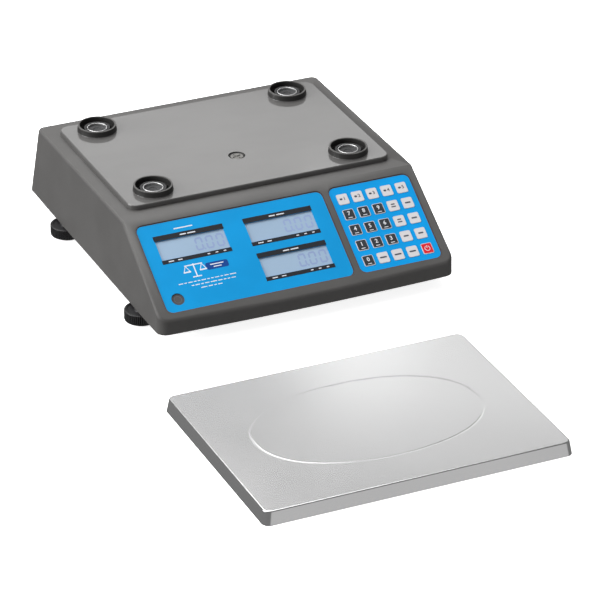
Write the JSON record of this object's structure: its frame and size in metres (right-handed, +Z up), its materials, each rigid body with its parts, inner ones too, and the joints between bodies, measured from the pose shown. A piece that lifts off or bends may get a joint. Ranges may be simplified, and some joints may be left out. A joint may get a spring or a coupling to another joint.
{
  "type": "counting scale",
  "caption": "Bench scale with three displays, a 25-key pad, four levelling feet and a stainless platter that lifts off its posts, lying in front.",
  "frame": {"origin": "centre of the whole layout's footprint, on the bench", "axes": "+Z up, -Y is the side with the keys and displays, +X to the operator's right"},
  "size_m": [0.3886, 0.7374, 0.112],
  "materials": {
    "grey_abs": "satin moulded, slightly glossy",
    "dark_abs": "fine moulded grain",
    "blue_film": "printed polyester film",
    "rubber": "matt",
    "steel": "fine brushed",
    "cast_aluminium": "as cast, machined rims",
    "board": "solder mask",
    "display_glass": "polished",
    "white_key": "satin film",
    "dark_key": "satin film",
    "red_key": "satin film"
  },
  "bodies": {
    "housing": {"upper_housing": "grey_abs", "lower_housing": "dark_abs", "display_film": "blue_film", "keypad_film": "blue_film", "keypad_circuit": "board", "lcd_weight": "display_glass", "lcd_unit_price": "display_glass", "lcd_total_price": "display_glass", "display_board": "board", "level_vial": "display_glass", "main_board": "board", "load_cell": "cast_aluminium", "cell_tower": "cast_aluminium", "seal_screw": "steel", "battery": "dark_abs", "power_inlet": "dark_abs", "rear_film": "blue_film", "rear_display": "display_glass"},
    "platter": {"platter": "steel", "platter_carrier": "dark_abs"},
    "weigh_frame": {"weigh_frame": "cast_aluminium", "post_insert_front_left": "rubber", "post_insert_front_right": "rubber", "post_insert_back_left": "rubber", "post_insert_back_right": "rubber"},
    "battery_door": {"battery_door": "dark_abs"},
    "foot_pad_front_left": {"foot_pad_front_left": "rubber"},
    "foot_wheel_front_left": {"foot_wheel_front_left": "dark_abs"},
    "foot_pad_front_right": {"foot_pad_front_right": "rubber"},
    "foot_wheel_front_right": {"foot_wheel_front_right": "dark_abs"},
    "foot_pad_back_left": {"foot_pad_back_left": "rubber"},
    "foot_wheel_back_left": {"foot_wheel_back_left": "dark_abs"},
    "foot_pad_back_right": {"foot_pad_back_right": "rubber"},
    "foot_wheel_back_right": {"foot_wheel_back_right": "dark_abs"},
    "key_m1": {"key_m1": "white_key"},
    "key_m2": {"key_m2": "white_key"},
    "key_m3": {"key_m3": "white_key"},
    "key_m4": {"key_m4": "white_key"},
    "key_m5": {"key_m5": "white_key"},
    "key_7": {"key_7": "dark_key"},
    "key_8": {"key_8": "dark_key"},
    "key_9": {"key_9": "dark_key"},
    "key_lookup_up": {"key_lookup_up": "white_key"},
    "key_save": {"key_save": "white_key"},
    "key_4": {"key_4": "dark_key"},
    "key_5": {"key_5": "dark_key"},
    "key_6": {"key_6": "dark_key"},
    "key_lookup_down": {"key_lookup_down": "white_key"},
    "key_zero": {"key_zero": "white_key"},
    "key_1": {"key_1": "dark_key"},
    "key_2": {"key_2": "dark_key"},
    "key_3": {"key_3": "dark_key"},
    "key_unit": {"key_unit": "white_key"},
    "key_tare": {"key_tare": "white_key"},
    "key_0": {"key_0": "dark_key"},
    "key_clear": {"key_clear": "white_key"},
    "key_enter": {"key_enter": "white_key"},
    "key_print": {"key_print": "white_key"},
    "key_power": {"key_power": "red_key"}
  },
  "joints": [
    {"name": "platter_lift", "type": "slide", "parent": "housing", "child": "platter", "axis": [0.0859, 0.8886, 0.4505], "range_m": [0, 0.5238]},
    {"name": "weigh_frame_sink", "type": "slide", "parent": "housing", "child": "weigh_frame", "axis": [0, 0, -1], "range_m": [0, 0.0004], "stiffness_N_per_m": 20000, "springref_m": -0.001},
    {"name": "battery_door_swing", "type": "hinge", "parent": "housing", "child": "battery_door", "pos_m": [0.07775, 0.32823, 0.017], "axis": [1, 0, 0], "range_deg": [0, 80]},
    {"name": "foot_wheel_front_left_turn", "type": "hinge", "parent": "foot_pad_front_left", "child": "foot_wheel_front_left", "pos_m": [-0.14425, 0.06073, 0.008], "axis": [0, 0, -1], "range_deg": [0, 2161]},
    {"name": "foot_pad_front_left_drop", "type": "slide", "parent": "housing", "child": "foot_pad_front_left", "axis": [0, 0, -1], "range_m": [0, 0.006]},
    {"name": "foot_wheel_front_right_turn", "type": "hinge", "parent": "foot_pad_front_right", "child": "foot_wheel_front_right", "pos_m": [0.17575, 0.06073, 0.008], "axis": [0, 0, -1], "range_deg": [0, 2161]},
    {"name": "foot_pad_front_right_drop", "type": "slide", "parent": "housing", "child": "foot_pad_front_right", "axis": [0, 0, -1], "range_m": [0, 0.006]},
    {"name": "foot_wheel_back_left_turn", "type": "hinge", "parent": "foot_pad_back_left", "child": "foot_wheel_back_left", "pos_m": [-0.14425, 0.27473, 0.008], "axis": [0, 0, -1], "range_deg": [0, 2161]},
    {"name": "foot_pad_back_left_drop", "type": "slide", "parent": "housing", "child": "foot_pad_back_left", "axis": [0, 0, -1], "range_m": [0, 0.006]},
    {"name": "foot_wheel_back_right_turn", "type": "hinge", "parent": "foot_pad_back_right", "child": "foot_wheel_back_right", "pos_m": [0.17575, 0.27473, 0.008], "axis": [0, 0, -1], "range_deg": [0, 2161]},
    {"name": "foot_pad_back_right_drop", "type": "slide", "parent": "housing", "child": "foot_pad_back_right", "axis": [0, 0, -1], "range_m": [0, 0.006]},
    {"name": "key_m1_press", "type": "slide", "parent": "housing", "child": "key_m1", "axis": [0, 0.5446, -0.8387], "range_m": [0, 0.0004], "stiffness_N_per_m": 800, "springref_m": -0.0008},
    {"name": "key_m2_press", "type": "slide", "parent": "housing", "child": "key_m2", "axis": [0, 0.5446, -0.8387], "range_m": [0, 0.0004], "stiffness_N_per_m": 800, "springref_m": -0.0008},
    {"name": "key_m3_press", "type": "slide", "parent": "housing", "child": "key_m3", "axis": [0, 0.5446, -0.8387], "range_m": [0, 0.0004], "stiffness_N_per_m": 800, "springref_m": -0.0008},
    {"name": "key_m4_press", "type": "slide", "parent": "housing", "child": "key_m4", "axis": [0, 0.5446, -0.8387], "range_m": [0, 0.0004], "stiffness_N_per_m": 800, "springref_m": -0.0008},
    {"name": "key_m5_press", "type": "slide", "parent": "housing", "child": "key_m5", "axis": [0, 0.5446, -0.8387], "range_m": [0, 0.0004], "stiffness_N_per_m": 800, "springref_m": -0.0008},
    {"name": "key_7_press", "type": "slide", "parent": "housing", "child": "key_7", "axis": [0, 0.5446, -0.8387], "range_m": [0, 0.0004], "stiffness_N_per_m": 800, "springref_m": -0.0008},
    {"name": "key_8_press", "type": "slide", "parent": "housing", "child": "key_8", "axis": [0, 0.5446, -0.8387], "range_m": [0, 0.0004], "stiffness_N_per_m": 800, "springref_m": -0.0008},
    {"name": "key_9_press", "type": "slide", "parent": "housing", "child": "key_9", "axis": [0, 0.5446, -0.8387], "range_m": [0, 0.0004], "stiffness_N_per_m": 800, "springref_m": -0.0008},
    {"name": "key_lookup_up_press", "type": "slide", "parent": "housing", "child": "key_lookup_up", "axis": [0, 0.5446, -0.8387], "range_m": [0, 0.0004], "stiffness_N_per_m": 800, "springref_m": -0.0008},
    {"name": "key_save_press", "type": "slide", "parent": "housing", "child": "key_save", "axis": [0, 0.5446, -0.8387], "range_m": [0, 0.0004], "stiffness_N_per_m": 800, "springref_m": -0.0008},
    {"name": "key_4_press", "type": "slide", "parent": "housing", "child": "key_4", "axis": [0, 0.5446, -0.8387], "range_m": [0, 0.0004], "stiffness_N_per_m": 800, "springref_m": -0.0008},
    {"name": "key_5_press", "type": "slide", "parent": "housing", "child": "key_5", "axis": [0, 0.5446, -0.8387], "range_m": [0, 0.0004], "stiffness_N_per_m": 800, "springref_m": -0.0008},
    {"name": "key_6_press", "type": "slide", "parent": "housing", "child": "key_6", "axis": [0, 0.5446, -0.8387], "range_m": [0, 0.0004], "stiffness_N_per_m": 800, "springref_m": -0.0008},
    {"name": "key_lookup_down_press", "type": "slide", "parent": "housing", "child": "key_lookup_down", "axis": [0, 0.5446, -0.8387], "range_m": [0, 0.0004], "stiffness_N_per_m": 800, "springref_m": -0.0008},
    {"name": "key_zero_press", "type": "slide", "parent": "housing", "child": "key_zero", "axis": [0, 0.5446, -0.8387], "range_m": [0, 0.0004], "stiffness_N_per_m": 800, "springref_m": -0.0008},
    {"name": "key_1_press", "type": "slide", "parent": "housing", "child": "key_1", "axis": [0, 0.5446, -0.8387], "range_m": [0, 0.0004], "stiffness_N_per_m": 800, "springref_m": -0.0008},
    {"name": "key_2_press", "type": "slide", "parent": "housing", "child": "key_2", "axis": [0, 0.5446, -0.8387], "range_m": [0, 0.0004], "stiffness_N_per_m": 800, "springref_m": -0.0008},
    {"name": "key_3_press", "type": "slide", "parent": "housing", "child": "key_3", "axis": [0, 0.5446, -0.8387], "range_m": [0, 0.0004], "stiffness_N_per_m": 800, "springref_m": -0.0008},
    {"name": "key_unit_press", "type": "slide", "parent": "housing", "child": "key_unit", "axis": [0, 0.5446, -0.8387], "range_m": [0, 0.0004], "stiffness_N_per_m": 800, "springref_m": -0.0008},
    {"name": "key_tare_press", "type": "slide", "parent": "housing", "child": "key_tare", "axis": [0, 0.5446, -0.8387], "range_m": [0, 0.0004], "stiffness_N_per_m": 800, "springref_m": -0.0008},
    {"name": "key_0_press", "type": "slide", "parent": "housing", "child": "key_0", "axis": [0, 0.5446, -0.8387], "range_m": [0, 0.0004], "stiffness_N_per_m": 800, "springref_m": -0.0008},
    {"name": "key_clear_press", "type": "slide", "parent": "housing", "child": "key_clear", "axis": [0, 0.5446, -0.8387], "range_m": [0, 0.0004], "stiffness_N_per_m": 800, "springref_m": -0.0008},
    {"name": "key_enter_press", "type": "slide", "parent": "housing", "child": "key_enter", "axis": [0, 0.5446, -0.8387], "range_m": [0, 0.0004], "stiffness_N_per_m": 800, "springref_m": -0.0008},
    {"name": "key_print_press", "type": "slide", "parent": "housing", "child": "key_print", "axis": [0, 0.5446, -0.8387], "range_m": [0, 0.0004], "stiffness_N_per_m": 800, "springref_m": -0.0008},
    {"name": "key_power_press", "type": "slide", "parent": "housing", "child": "key_power", "axis": [0, 0.5446, -0.8387], "range_m": [0, 0.0004], "stiffness_N_per_m": 800, "springref_m": -0.0008}
  ],
  "couplings": [
    {"joint": "foot_wheel_front_left_turn", "follows": "foot_pad_front_left_drop", "rad_per_m": 6283.2},
    {"joint": "foot_wheel_front_right_turn", "follows": "foot_pad_front_right_drop", "rad_per_m": 6283.2},
    {"joint": "foot_wheel_back_left_turn", "follows": "foot_pad_back_left_drop", "rad_per_m": 6283.2},
    {"joint": "foot_wheel_back_right_turn", "follows": "foot_pad_back_right_drop", "rad_per_m": 6283.2}
  ]
}
